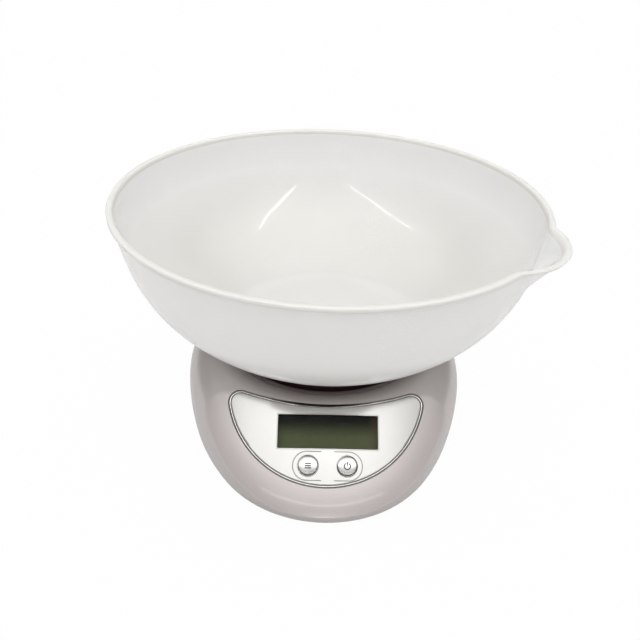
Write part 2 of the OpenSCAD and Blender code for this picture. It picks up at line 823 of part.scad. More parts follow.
// Battery cover: plate, two round hinge pins on arms, springy latch with a grip
module battery_door() {
    color([0.68, 0.64, 0.66])
        difference() {
            union() {
                translate([-door_x / 2, bay_cy - door_y / 2 + 1.2, floor_gap])
                    cube([door_x, door_y - 1.2, door_t]);
                for (x = [-1, 1]) {
                    translate([x * (door_x / 2 - 2.4) - 2.4, hinge_y - 1.2, floor_gap + 0.2])
                        cube([4.8, 3.6, door_t - 0.2]);
                    translate([x * (door_x / 2 - 0.8), hinge_y, hinge_z])
                        rotate([0, 90, 0])
                            cylinder(h = 4.4, r = hinge_r, center = true, $fn = 32);
                }
                translate([-5, bay_cy + bay_y / 2 - 1.6, floor_gap + 1])
                    cube([10, 1.2, 4]);
                translate([-5, bay_cy + bay_y / 2 - 1.6, floor_gap + door_t + 1])
                    cube([10, 3, 1.2]);
                for (x = [-14, 14])
                    translate([x - 0.7, bay_cy - bay_y / 2 + 3, floor_gap + 1])
                        cube([1.4, bay_y - 8, door_t - 0.4]);
            }
            // Finger grip grooves
            for (i = [0:4])
                translate([-8, bay_cy + bay_y / 2 - 3.5 - i * 2, floor_gap - 0.4])
                    cube([16, 0.9, 0.9]);
        }
}

module one_battery(y, flip) {
    translate([0, y, cell_z])
        rotate([0, flip ? -90 : 90, 0]) {
            translate([0, 0, -cell_l / 2])
                cylinder(h = cell_l - 1, r = cell_d / 2, $fn = 64);
            translate([0, 0, cell_l / 2 - 1.1])
                cylinder(h = 1.1, r = 1.9, $fn = 32);
        }
}
module batteries() {
    color([0.20, 0.42, 0.36]) {
        one_battery(bay_cy - cell_dy, false);
        one_battery(bay_cy + cell_dy, true);
    }
}
// Contact springs at the flat ends, stacked rings narrowing to the battery
module battery_springs() {
    color([0.75, 0.75, 0.76])
        for (s = [-1, 1])
            translate([s * (cell_l / 2), bay_cy + s * cell_dy, cell_z])
                rotate([0, s * 90, 0])
                    for (i = [0:3])
                        translate([0, 0, i * 0.68 + 0.36])
                            rotate_extrude($fn = 40)
                                translate([2.2 + i * 0.42, 0])
                                    circle(r = 0.36, $fn = 16);
}
module battery_plates() {
    color([0.72, 0.72, 0.74])
        for (s = [-1, 1], t = [-1, 1])
            translate([s * (bay_x / 2 - 0.35) - 0.35, bay_cy + t * cell_dy - 4.2, cell_z - 4.4])
                cube([0.7, 8.4, 9.2]);
}

// Point at x, s down the slope and d below the facet surface
function facet_pt(x, s, d) = [x, -facet_y - s * cos(facet_slope) + d * sin(facet_slope),
    base_top - 0.2 - s * sin(facet_slope) - d * cos(facet_slope)];
// Round insulated lead through a list of points
module wire(pts, r) {
    for (i = [0:len(pts) - 2]) {
        a = pts[i];
        b = pts[i + 1];
        d = b - a;
        l = norm(d);
        translate(a)
            rotate([0, acos(d[2] / l), atan2(d[1], d[0])])
                cylinder(h = l, r = r, $fn = 24);
        if (i < len(pts) - 2)
            translate(b)
                sphere(r = r * 1.15, $fn = 24);
    }
}
module cell_lead() {
    color([0.75, 0.20, 0.18])
        wire([[-17, -cell_t / 2 - 1.4, cell_bot + 4], [-19, -16, 12], [-20, -40, 9.4],
            [-12, -66, 9.4], facet_pt(-3, board_s1 - 3, board_top + board_t + 1.3)], 0.9);
}
module battery_leads() {
    color([0.12, 0.12, 0.14])
        for (s = [-1, 1])
            wire([[s * lead_x, bay_cy - bay_y / 2 - 0.6, bay_top - 1.8],
                [s * lead_x, bay_cy - bay_y / 2 - 6, 10], [s * (lead_x - 2.6), -20, 9.2], [s * 9, -60, 9],
                facet_pt(s * 8, board_s1 - 2.6, board_top + board_t + 1.1)], 0.7);
}

lower_housing();
upper_housing();
panel_overlay();
lcd_window();
lcd_glass();
lcd_frame();
zebra_strips();
circuit_board();
chip_blob();
tact_switches();
unit_button();
power_button();
board_screws();
load_cell();
load_cell_free_end();
strain_gauges();
cell_spacer();
cell_screws();
platform_carrier();
carrier_screws();
platform_pan();
bowl();
housing_screws();
rubber_feet();
battery_door();
batteries();
battery_springs();
battery_plates();
cell_lead();
battery_leads();
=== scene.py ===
import bpy
import bmesh
from math import asin, atan2, cos, exp, hypot, pi, radians, sin, sqrt
from mathutils import Matrix, Vector
from mathutils.bvhtree import BVHTree


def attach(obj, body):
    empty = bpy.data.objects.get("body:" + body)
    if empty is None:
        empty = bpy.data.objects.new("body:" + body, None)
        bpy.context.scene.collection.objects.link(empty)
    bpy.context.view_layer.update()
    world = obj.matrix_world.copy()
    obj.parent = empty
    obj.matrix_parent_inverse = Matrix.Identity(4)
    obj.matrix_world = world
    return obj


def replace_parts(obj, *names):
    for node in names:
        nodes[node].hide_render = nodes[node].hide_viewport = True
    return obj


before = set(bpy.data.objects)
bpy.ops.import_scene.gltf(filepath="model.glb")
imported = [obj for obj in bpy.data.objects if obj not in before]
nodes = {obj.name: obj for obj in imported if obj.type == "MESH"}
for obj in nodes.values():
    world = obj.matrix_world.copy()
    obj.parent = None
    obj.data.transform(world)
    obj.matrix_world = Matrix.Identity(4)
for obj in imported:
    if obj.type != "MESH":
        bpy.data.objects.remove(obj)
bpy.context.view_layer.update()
MM = 0.001

# Sizes in millimetres, the same as the solids have. x runs to the right, y to the back and z up,
# and the bowl's axis is the z axis.
# Egg shaped plan of the base: its back arc, and how much smaller its nose is
BASE_R, TAPER = 76.2, 13.0
NOSE_Y, NOSE_R, SIDE_X = 3 * TAPER, BASE_R - TAPER, 4 * TAPER
TOP, SEAM = 44.2, 8.0
# Platform well
OPEN_R, WELL_Z = 54.0, 36.2
# Display facet: a crowned slope, with a shoulder that rolls off round the panel
SLOPE, FACET_Y, FACET_Z, CROWN = radians(41), 63.0, 44.0, 180.0
NORMAL = Vector((0, -sin(SLOPE), cos(SLOPE)))
ROLL_R, ROLL_START, ROLL_END = 40.0, 2.0, 14.0
# Crescent panel: outer radius, length down the slope, radius of its hollow upper edge, corners
PANEL_HALF, PANEL_LEN, HOLLOW, CORNER, SHEET = 49.0, 39.0, 124.0, 6.0, 0.7
# Window and buttons, with their distance down the slope
DISPLAY_X, WINDOW_S, WINDOW_W, WINDOW_H, WINDOW_CORNER = 0.8, 12.9, 48.0, 16.0, 0.6
BUTTON_S, BUTTON_PITCH, BUTTON_D = 28.8, 18.4, 9.2
BUTTON_LEFT, BUTTON_RIGHT = DISPLAY_X - BUTTON_PITCH / 2, DISPLAY_X + BUTTON_PITCH / 2
# Bowl
BOWL_R, RIM_Z, FOOT_R, FOOT_Z, BOWL_WALL = 105.8, 126.0, 49.0, 46.5, 1.8
LIP_H, LIP_OUT = 2.0, 1.1
SPOUT_DIR, SPOUT_REACH, SPOUT_R, SPOUT_H = radians(-33), 9.4, 33.0, 34.0


# ---------------------------------------------------------------- shader helpers
class Wire:
    """A socket of a material. Sums and products of wires add Math nodes."""

    def __init__(self, tree, socket):
        self.tree, self.socket = tree, socket

    def node(self, kind, inputs=(), out=0, **settings):
        """Adds any other node: its settings first, then the values or wires of its sockets."""
        n = self.tree.nodes.new(kind)
        for key, value in settings.items():
            setattr(n, key, value)
        pairs = inputs.items() if isinstance(inputs, dict) else enumerate(inputs)
        for key, value in pairs:
            if isinstance(value, Wire):
                self.tree.links.new(value.socket, n.inputs[key])
            else:
                n.inputs[key].default_value = value
        return Wire(self.tree, n.outputs[out])

    def math(self, what, *others):
        return self.node("ShaderNodeMath", [self, *others], operation=what)

    def __add__(self, o):
        return self.math("ADD", o)

    def __sub__(self, o):
        return self.math("SUBTRACT", o)

    def __mul__(self, o):
        return self.math("MULTIPLY", o)

    def __rsub__(self, o):
        return self.node("ShaderNodeMath", [o, self], operation="SUBTRACT")

    def __neg__(self):
        return self * -1.0

    def __abs__(self):
        return self.math("ABSOLUTE")

    def least(self, o):
        return self.math("MINIMUM", o)

    def most(self, o):
        return self.math("MAXIMUM", o)

    def root(self):
        return self.math("SQRT")

    def ramp(self, low, high):
        """0 at low, 1 at high, smooth between."""
        return self.node("ShaderNodeMapRange", {"Value": self, "From Min": low, "From Max": high},
                         interpolation_type="SMOOTHSTEP")

    def noise(self, scale, detail=3.0, rough=0.5):
        return self.node("ShaderNodeTexNoise", {"Vector": self, "Scale": scale, "Detail": detail,
                                                "Roughness": rough})

    def turned(self, turn=(0, 0, 0), size=(1, 1, 1)):
        return self.node("ShaderNodeMapping", {"Vector": self, "Rotation": turn, "Scale": size})

    def parts(self):
        n = self.tree.nodes.new("ShaderNodeSeparateXYZ")
        self.tree.links.new(self.socket, n.inputs[0])
        return [Wire(self.tree, o) for o in n.outputs]

    def blend(self, a, b):
        """Colour a where this is 0, colour b where it is 1."""
        n = self.tree.nodes.new("ShaderNodeMix")
        n.data_type = "RGBA"
        self.tree.links.new(self.socket, n.inputs["Factor"])
        for key, c in (("A", a), ("B", b)):
            s = [i for i in n.inputs if i.name == key and i.type == "RGBA"][0]
            if isinstance(c, Wire):
                self.tree.links.new(c.socket, s)
            else:
                s.default_value = c
        return Wire(self.tree, [o for o in n.outputs if o.type == "RGBA"][0])


def tint(r, g, b):
    """A colour as seen on a screen, 0 to 255, as the linear colour that shaders take."""
    lin = [(c / 255) / 12.92 if c <= 10 else ((c / 255 + 0.055) / 1.055) ** 2.4 for c in (r, g, b)]
    return (*lin, 1.0)


def shade(colour, factor):
    return (*[min(1.0, c * factor) for c in colour[:3]], 1.0)


def new_finish(name):
    """An empty material: its object coordinates and its main shader."""
    m = bpy.data.materials.new(name)
    m.use_nodes = True
    shader = m.node_tree.nodes["Principled BSDF"]
    coords = m.node_tree.nodes.new("ShaderNodeTexCoord")
    return m, Wire(m.node_tree, coords.outputs["Object"]), shader


def wire_up(shader, **sockets):
    for key, value in sockets.items():
        socket = shader.inputs[key.replace("_", " ")]
        if isinstance(value, Wire):
            value.tree.links.new(value.socket, socket)
        else:
            socket.default_value = value


def bump(height, strength, distance):
    return height.node("ShaderNodeBump", {"Height": height, "Strength": strength,
                                          "Distance": distance})


def facet_place(at, centre):
    """The facet frame in a material: across from a centre line, up the slope and out of it."""
    flat = at.node("ShaderNodeVectorMath", [at, (-centre * MM, FACET_Y * MM, -FACET_Z * MM)],
                   operation="ADD")
    return flat.turned((-SLOPE, 0, 0)).parts()


def within(distance, limit, soft):
    """1 where a distance in metres is under a limit in millimetres, 0 beyond its soft border."""
    return 1 - distance.ramp(limit * MM, (limit + soft) * MM)


def moulded(name, colour, rough=0.35, metal=0.0, grain=9000.0, cloud=60.0, vary=0.05, relief=0.25,
            stretch=(1, 1, 1)):
    """A general finish: a cloudy tone, a fine grain in the gloss and a slight relief."""
    m, at, shader = new_finish(name)
    at = at.turned(size=stretch)
    cloudy = at.noise(cloud, 2.0)
    fine = at.noise(grain, 3.0, 0.6)
    tone = (cloudy * 0.7 + fine * 0.3).ramp(0.3, 0.7)
    wire_up(
        shader,
        Base_Color=tone.blend(shade(colour, 1 - vary), shade(colour, 1 + vary)),
        Roughness=(fine - 0.5) * 0.08 + (cloudy - 0.5) * 0.048 + rough,
        Metallic=metal,
        Normal=bump(fine * 0.7 + cloudy * 0.3, relief, 0.00004),
    )
    return m


# ---------------------------------------------------------------- shape helpers
def piece(name, bm, body, finish, smooth=40.0):
    """A finished piece in millimetres: its object, riding on its body."""
    bmesh.ops.remove_doubles(bm, verts=bm.verts, dist=1e-5)
    bmesh.ops.scale(bm, vec=(MM, MM, MM), verts=bm.verts)
    mesh = bpy.data.meshes.new(name)
    bm.to_mesh(mesh)
    bm.free()
    return keep(name, mesh, body, finish, smooth)


def keep(name, mesh, body, finish, smooth=40.0):
    """A finished piece from a mesh in metres."""
    o = bpy.data.objects.new(name, mesh)
    bpy.context.scene.collection.objects.link(o)
    mesh.materials.clear()
    mesh.materials.append(finish)
    for p in mesh.polygons:
        p.use_smooth = True
    mesh.set_sharp_from_angle(angle=radians(smooth))
    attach(o, body)
    return o


def loose(name, bm):
    """A bare object: a cutter or half made piece in millimetres, or the floor in metres."""
    mesh = bpy.data.meshes.new(name)
    bm.to_mesh(mesh)
    bm.free()
    o = bpy.data.objects.new(name, mesh)
    bpy.context.scene.collection.objects.link(o)
    return o


def cut_mesh(o, cutters):
    """The mesh of a half made piece after its cuts, in metres."""
    for c in cutters:
        mod = o.modifiers.new("cut", "BOOLEAN")
        mod.operation, mod.object, mod.solver = "DIFFERENCE", c, "EXACT"
    bpy.context.view_layer.update()
    done = o.evaluated_get(bpy.context.evaluated_depsgraph_get())
    mesh = bpy.data.meshes.new_from_object(done)
    for used in [o, *cutters]:
        bpy.data.objects.remove(used)
    mesh.transform(Matrix.Scale(MM, 4))
    return mesh


def spun(profile, steps):
    """Turns a profile of (radius, height) round the z axis."""
    bm = bmesh.new()
    vs = [bm.verts.new((r, 0, z)) for r, z in profile]
    es = [bm.edges.new((a, b)) for a, b in zip(vs, vs[1:])]
    bmesh.ops.spin(bm, geom=vs + es, cent=(0, 0, 0), axis=(0, 0, 1), angle=2 * pi, steps=steps,
                   use_merge=True)
    bmesh.ops.remove_doubles(bm, verts=bm.verts, dist=1e-4)
    bmesh.ops.recalc_face_normals(bm, faces=bm.faces)
    return bm


def grown(bm, edges, before):
    """Extrudes a line of edges once: the new edges, and the new vertex of each old one."""
    got = bmesh.ops.extrude_edge_only(bm, edges=edges)["geom"]
    before, after = set(before), {}
    for v in got:
        if isinstance(v, bmesh.types.BMVert):
            for e in v.link_edges:
                if e.other_vert(v) in before:
                    after[e.other_vert(v)] = v
    return [e for e in got if isinstance(e, bmesh.types.BMEdge)], after


def resampled(line, count, soften=0.0):
    """A line of points at even steps, first softened over a distance, ends kept."""
    step = 0.4
    fine = [Vector(line[0])]
    for a, b in zip(line, line[1:]):
        a, b = Vector(a), Vector(b)
        n = max(1, round((b - a).length / step))
        fine += [a.lerp(b, k / n) for k in range(1, n + 1)]
    if soften:
        reach = int(2.5 * soften / step)
        weights = [exp(-((k * step / soften) ** 2)) for k in range(-reach, reach + 1)]
        whole = sum(weights)
        # Beyond each end the line goes on as its mirror image through that end
        last = len(fine) - 1
        heads = [fine[0] * 2 - fine[min(k, last)] for k in range(reach, 0, -1)]
        tails = [fine[-1] * 2 - fine[last - min(k, last)] for k in range(1, reach + 1)]
        wide = heads + fine + tails
        nought = Vector((0,) * len(fine[0]))
        fine = [sum((wide[i + k] * w for k, w in enumerate(weights)), nought) / whole
                for i in range(len(fine))]
    dist = [0.0]
    for a, b in zip(fine, fine[1:]):
        dist.append(dist[-1] + (b - a).length)
    out, j = [], 0
    for k in range(count):
        d = dist[-1] * k / (count - 1)
        while j < len(dist) - 2 and dist[j + 1] < d:
            j += 1
        span = dist[j + 1] - dist[j]
        out.append(fine[j].lerp(fine[j + 1], (d - dist[j]) / span if span else 0))
    return out


# ---------------------------------------------------------------- facet and base cover
def crown_drop(x):
    return CROWN - sqrt(CROWN * CROWN - x * x)


def roll_drop(x, up):
    """The shoulder rolls away from the crowned facet round the panel arc, then runs on straight."""
    away = max(0.0, hypot(x, up - PANEL_HALF + PANEL_LEN) - PANEL_HALF - ROLL_START)
    rolled = min(away, ROLL_END)
    return rolled ** 2 / (2 * ROLL_R) + (away - rolled) * ROLL_END / ROLL_R


def facet_height(x, y):
    """Height of the facet over a point of the plan. The place up the slope is found in turns."""
    up = (y + FACET_Y) / cos(SLOPE)
    for _ in range(3):
        drop = crown_drop(x) + roll_drop(x, up)
        z = FACET_Z + (sin(SLOPE) * (y + FACET_Y) - drop) / cos(SLOPE)
        up = (y + FACET_Y) * cos(SLOPE) + (z - FACET_Z) * sin(SLOPE)
    return z


def from_facet(x, up, out):
    """A point of the facet frame: x, distance up the slope, distance out of the surface."""
    return Vector((x, -FACET_Y + up * cos(SLOPE) - out * sin(SLOPE),
                   FACET_Z + up * sin(SLOPE) + out * cos(SLOPE)))


def set_on_facet(bm, x, up):
    """Moves a shape that stands on the origin to a place on the facet."""
    for v in bm.verts:
        v.co = from_facet(x + v.co.x, up + v.co.y, v.co.z)
    return bm


def plan_columns(count):
    """Points on the egg shaped plan edge with their outward directions, all the way round."""
    turn = asin(NOSE_Y / hypot(NOSE_Y, SIDE_X))
    # Each arc: centre, radius, first and last angle
    arcs = [((0, 0), BASE_R, 0, pi), ((SIDE_X, 0), BASE_R + SIDE_X, pi, pi + turn),
            ((0, -NOSE_Y), NOSE_R, pi + turn, 2 * pi - turn),
            ((-SIDE_X, 0), BASE_R + SIDE_X, -turn, 0)]
    whole = sum(r * (b - a) for _, r, a, b in arcs)
    out = []
    for k in range(count):
        d = whole * k / count
        for centre, r, a, b in arcs:
            if d < r * (b - a):
                n = Vector((cos(a + d / r), sin(a + d / r)))
                out.append((Vector(centre) + n * r, n))
                break
            d -= r * (b - a)
    return out


# The wall: distance in from the plan edge, and height
WALL = [(0.7, SEAM), (0.15, SEAM + 5), (0, SEAM + 11), (0.5, TOP - 16), (1.7, TOP - 12),
        (3.9, TOP - 8.2), (7.4, TOP - 4.8), (12, TOP - 2.2), (17, TOP - 0.7), (21.5, TOP)]
# The rounded edge and the wall of the platform well: radius and height
WELL_EDGE = [(OPEN_R + 0.17, TOP - 0.12), (OPEN_R, TOP - 0.6), (OPEN_R - 0.02, TOP - 2),
             (OPEN_R + 0.12, WELL_Z + 1), (OPEN_R + 0.12, WELL_Z)]


def cover_skin(columns=256, rows=52, step=0.4, soft=3.6):
    """The outer skin of the base: each column climbs the wall, crosses the facet or the shoulder
    and ends in the platform well."""
    bm = bmesh.new()
    ring = bmesh.ops.create_circle(bm, cap_ends=False, segments=columns, radius=1)["verts"]
    ring.sort(key=lambda v: atan2(v.co.y, v.co.x) % (2 * pi))
    lines = []
    for q, n in plan_columns(columns):
        # Where the inward line meets the well
        b = q.dot(n)
        reach = b - sqrt(b * b - q.dot(q) + OPEN_R * OPEN_R)
        if reach > WALL[-1][0] + 0.1:
            along = WALL + [(reach, TOP)]
        else:
            along = [p for p in WALL if p[0] < reach - 0.2] + [(reach, TOP - 0.02)]
        fine = []
        for (d0, z0), (d1, z1) in zip(along, along[1:]):
            steps = max(1, int(hypot(d1 - d0, z1 - z0) / step))
            fine += [(d0 + (d1 - d0) * k / steps, z0 + (z1 - z0) * k / steps)
                     for k in range(steps)]
        fine.append(along[-1])
        # The facet cuts the wall off, down to just above the seam
        line = []
        for d, z in fine:
            p = q - n * d
            z = min(z, max(facet_height(p.x, p.y), SEAM + 0.3 + z * 0.01))
            if not line or hypot(d - line[-1][0], z - line[-1][1]) > 0.05:
                line.append((d, z))
        lines.append([(q - n * p.x, p.y) for p in resampled(line, rows, soft)])
    for v, line in zip(ring, lines):
        v.co = (*line[0][0], line[0][1])
    edges, order = list(bm.edges), list(ring)
    for k in range(1, rows + len(WELL_EDGE)):
        edges, onto = grown(bm, edges, order)
        order = [onto[v] for v in order]
        for v, line in zip(order, lines):
            if k < rows:
                v.co = (*line[k][0], line[k][1])
            else:
                r, z = WELL_EDGE[k - rows]
                v.co = (*(line[-1][0].normalized() * r), z)
    bmesh.ops.recalc_face_normals(bm, faces=bm.faces)
    if max(bm.faces, key=lambda f: f.calc_center_median().z).normal.z < 0:
        bmesh.ops.reverse_faces(bm, faces=bm.faces)
    return bm


def crescent_edges(inset):
    """The crescent outline: half width, and the upper and lower edge at a place x."""
    big, hollow, corner = PANEL_HALF - inset, HOLLOW + inset, CORNER - inset
    low = PANEL_HALF - PANEL_LEN
    # Centre of the corner arc, which touches both long arcs
    a, b, dist = hollow + corner, big - corner, HOLLOW - low
    rise = (b * b - a * a + dist * dist) / (2 * dist)
    corner_x, corner_up = sqrt(b * b - rise * rise), low + rise
    join_low, join_top = big * corner_x / b, hollow * corner_x / a

    def upper(x):
        x = abs(x)
        if x < join_top:
            return HOLLOW - sqrt(hollow * hollow - x * x)
        return corner_up + sqrt(max(0, corner * corner - (x - corner_x) ** 2))

    def lower(x):
        x = abs(x)
        if x < join_low:
            return low - sqrt(big * big - x * x)
        return corner_up - sqrt(max(0, corner * corner - (x - corner_x) ** 2))

    return corner_x + corner, upper, lower


def crescent_point(edges, across, along):
    """The place on a crescent, x and up the slope, of a point of a grid from -1 to 1. It is kept
    just inside the two tips."""
    half, upper, lower = edges
    x = half * sin(across * pi / 2) * 0.99995
    low, high = lower(x), upper(x)
    return x, low + (high - low) * (along + 1) / 2


def crescent_grid(inset, columns, rows, height):
    """A crescent sheet: height says how far each of its points stands out of the facet."""
    bm = bmesh.new()
    bmesh.ops.create_grid(bm, x_segments=columns, y_segments=rows, size=1)
    edges = crescent_edges(inset)
    for v in bm.verts:
        x, up = crescent_point(edges, v.co.x, v.co.y)
        v.co = from_facet(x, up, height(x, up))
    return bm


def sloped_rim(bm, out, dip):
    """Carries the edge of a crescent sheet outwards and down, as its bevel."""
    rim = [e for e in bm.edges if e.is_boundary]
    ring = {v for e in rim for v in e.verts}
    across, up_slope = Vector((1, 0, 0)), Vector((0, cos(SLOPE), sin(SLOPE)))
    away = {}
    for v in ring:
        push = Vector((0, 0, 0))
        for e in v.link_edges:
            if e.is_boundary:
                other = e.other_vert(v).co
                side = NORMAL.cross(other - v.co)
                inward = e.link_faces[0].calc_center_median() - (v.co + other) / 2
                push += side.normalized() * (-1 if side.dot(inward) > 0 else 1)
        push = across * push.dot(across) + up_slope * push.dot(up_slope)
        away[v] = push.normalized()
    for inner, v in grown(bm, rim, ring)[1].items():
        v.co += away[inner] * out - NORMAL * dip


def facet_peg(x, up, radius, low, high):
    """A round cutter that stands on the facet."""
    bm = bmesh.new()
    bmesh.ops.create_cone(bm, cap_ends=True, segments=64, radius1=radius, radius2=radius,
                          depth=high - low)
    bmesh.ops.translate(bm, verts=bm.verts, vec=(0, 0, (low + high) / 2))
    return set_on_facet(bm, x, up)


def facet_block(x, up, width, length, low, high, corner):
    """A block with rounded corners that stands on the facet."""
    bm = bmesh.new()
    bmesh.ops.create_cube(bm, size=1)
    bmesh.ops.scale(bm, verts=bm.verts, vec=(width, length, high - low))
    bmesh.ops.translate(bm, verts=bm.verts, vec=(0, 0, (low + high) / 2))
    posts = [e for e in bm.edges if abs(e.verts[0].co.z - e.verts[1].co.z) > 0.5]
    bmesh.ops.bevel(bm, geom=posts, offset=corner, segments=5, profile=0.5, affect="EDGES",
                    material=-1)
    return set_on_facet(bm, x, up)


def openings(window_low, play, low=-9, high=9):
    """Cutters for the display window and for both buttons, which get some play."""
    window = facet_block(DISPLAY_X, -WINDOW_S, WINDOW_W, WINDOW_H, window_low, high, WINDOW_CORNER)
    pegs = [facet_peg(x, -BUTTON_S, BUTTON_D / 2 + play, low, high)
            for x in (BUTTON_LEFT, BUTTON_RIGHT)]
    return [loose("opening", bm) for bm in [window, *pegs]]


skin = cover_skin()
skin_tree = BVHTree.FromBMesh(skin)


def skin_height(x, up, above=20):
    """How far the skin stands out of the flat facet plane."""
    hit = skin_tree.ray_cast(from_facet(x, up, above), -NORMAL)
    return above - hit[3] if hit[0] else -crown_drop(x)


RECESS = crescent_edges(0)
# The sheet lies a little below the skin, and curls down under the middle of its upper edge
SHEET_DIP, CURL_DIP, CURL_LEN, CURL_X, CURL_HALF = 0.12, 0.95, 6.5, -3.0, 25.0


def sheet_depth(x, up):
    near = max(0, 1 - (RECESS[1](x) - up) / CURL_LEN)
    middle = max(0, 1 - ((x - CURL_X) / CURL_HALF) ** 2) ** 0.7
    return SHEET_DIP + CURL_DIP * near * near * (3 - 2 * near) * middle


def recess_floor(x, up):
    return skin_height(x, up) - sheet_depth(x, up) - SHEET - 0.02


def recess_cutter():
    bm = crescent_grid(0.0, 120, 30, recess_floor)
    lid = bmesh.ops.extrude_face_region(bm, geom=list(bm.faces))["geom"]
    bmesh.ops.translate(bm, verts=[v for v in lid if isinstance(v, bmesh.types.BMVert)],
                        vec=NORMAL * 5)
    bmesh.ops.recalc_face_normals(bm, faces=bm.faces)
    return bm


def in_recess(c):
    """Whether a point of the cover is on the floor or the sides of the recess."""
    half, upper, lower = RECESS
    up = (c.y + FACET_Y) * cos(SLOPE) + (c.z - FACET_Z) * sin(SLOPE)
    if abs(c.x) >= half or not lower(c.x) - 0.1 < up < upper(c.x) + 0.1:
        return False
    return -3 < (c - from_facet(0, 0, 0)).dot(NORMAL) - skin_height(c.x, up) < -0.25


def bead(inner, outer, columns=150, rows=30, turns=9):
    """A thin half round bead along the crescent edge, between two insets. It sinks away where
    the sheet curls down."""
    bm = bmesh.new()
    bmesh.ops.create_grid(bm, x_segments=columns, y_segments=rows, size=1)
    where = {v: (v.co.x, v.co.y) for v in bm.verts if v.is_boundary}
    rim = {e for e in bm.edges if e.is_boundary}
    bmesh.ops.delete(bm, geom=list(bm.faces), context="FACES_ONLY")
    bmesh.ops.delete(bm, geom=[e for e in bm.edges if e not in rim], context="EDGES")
    bmesh.ops.delete(bm, geom=[v for v in bm.verts if v not in where], context="VERTS")
    edges = list(bm.edges)
    for k in range(turns + 1):
        t = pi * k / turns
        shape = crescent_edges((inner + outer) / 2 + (inner - outer) / 2 * cos(t))
        for v, (across, along) in where.items():
            x, up = crescent_point(shape, across, along)
            on_top = along > 0.9
            sunk = max(0, 1 - ((x - CURL_X) / (CURL_HALF + 2)) ** 2) if on_top else 0
            rise = SHEET * (1.02 - 0.95 * sunk) * sin(t) ** 0.5
            v.co = from_facet(x, up, recess_floor(x, up) + rise)
        if k < turns:
            edges, onto = grown(bm, edges, where)
            where = {onto[v]: place for v, place in where.items()}
    bmesh.ops.recalc_face_normals(bm, faces=bm.faces)
    return bm


# ---------------------------------------------------------------- finishes
PEARL = tint(183, 176, 174)
# Colour of the painted shade under the bowl
PAINTED_SHADE_PEARL = tint(70, 48, 50)


def pearl(name, colour=PEARL, painted_shade_ring=None):
    """Pearl lacquer: a soft mica shimmer under a clear coat. A ring about the bowl axis may carry
    painted
    shade: the radius where that starts, the radius where it ends and how far it goes."""
    m, at, shader = new_finish(name)
    mica = at.noise(5200.0, 2.0, 0.7)
    cloudy = at.noise(22.0, 2.0)
    sparkle = mica.ramp(0.60, 0.72)
    tone = (mica * 0.25 + cloudy * 0.75).ramp(0.3, 0.7)
    base = tone.blend(shade(colour, 0.965), shade(colour, 1.035))
    base = (sparkle * 0.22).blend(base, shade(colour, 1.35))
    if painted_shade_ring:
        clear, full, share = painted_shade_ring
        # Painted shade in a ring about the bowl axis, fading in from one radius to the other
        x, y, _ = at.parts()
        painted_shade = (x * x + y * y).root().ramp(clear * MM, full * MM) * share
        base = painted_shade.blend(base, PAINTED_SHADE_PEARL)
    wire_up(
        shader,
        Base_Color=base,
        Roughness=(cloudy - 0.5) * 0.05 + mica * 0.06 + 0.30,
        Metallic=sparkle * 0.10 + 0.12,
        Normal=bump(at.noise(160.0, 1.0), 0.05, 0.0002),
        Coat_Weight=0.7,
        Coat_Roughness=0.09,
    )
    return m


def bare_recess():
    """Unlacquered plastic of the panel's recess, with near-black painted shade where the sheet
    curls down into it.
    """
    m, at, shader = new_finish("bare_recess")
    x, up, _ = facet_place(at, CURL_X)
    # Painted shade in the middle of the recess's upper edge, where the sheet curls down
    painted_shade = within(abs(x), 8, 19) * up.ramp(-4 * MM, -2 * MM)
    grain = at.noise(5000.0, 2.0)
    plastic = grain.blend(tint(138, 130, 127), tint(152, 144, 141))
    wire_up(
        shader,
        Base_Color=painted_shade.blend(plastic, tint(30, 22, 22)),
        Roughness=grain * 0.1 + 0.55,
        Normal=bump(grain, 0.2, 0.00004),
    )
    return m


def bowl_plastic():
    """Milky plastic: light seeps through it, satin inside and out, faint flow marks."""
    m, at, shader = new_finish("milky_plastic")
    # The depth attribute is 0 outside and near the rim, and rises to nearly 1 at the floor inside
    depth = at.node("ShaderNodeAttribute", attribute_name="depth", out=2)
    flow = at.turned(size=(1, 1, 0.25)).noise(14.0, 2.0)
    fine = at.noise(2600.0, 2.0)
    colour = tint(246, 245, 242)
    tone = (flow * 0.8 + fine * 0.2).ramp(0.3, 0.7)
    base = tone.blend(shade(colour, 0.985), shade(colour, 1.015))
    # Painted shade: greyer down inside, towards the floor
    base = (depth * (1.55 - depth) * (flow * 0.3 + 0.85)).blend(base, tint(175, 174, 170))
    # Painted shade makes the lip a little greyer than the wall; it is also duller
    lip_low = RIM_Z - LIP_H
    lip = at.parts()[2].ramp((lip_low - 0.9) * MM, lip_low * MM)
    wire_up(
        shader,
        Base_Color=lip.blend(base, tint(214, 213, 209)),
        Roughness=(fine - 0.5) * 0.04 + (flow - 0.5) * 0.06 + lip * 0.2 + 0.26,
        Coat_Weight=0.4 - lip * 0.35,
        Coat_Roughness=0.04,
        Normal=bump(flow * 0.8 + fine * 0.02, 0.06, 0.0004),
        Subsurface_Weight=1.0,
        Subsurface_Radius=(0.006, 0.006, 0.0055),
        Subsurface_Scale=1.0,
        Transmission_Weight=0.05,
        IOR=1.45,
        Specular_IOR_Level=0.35,
    )
    return m


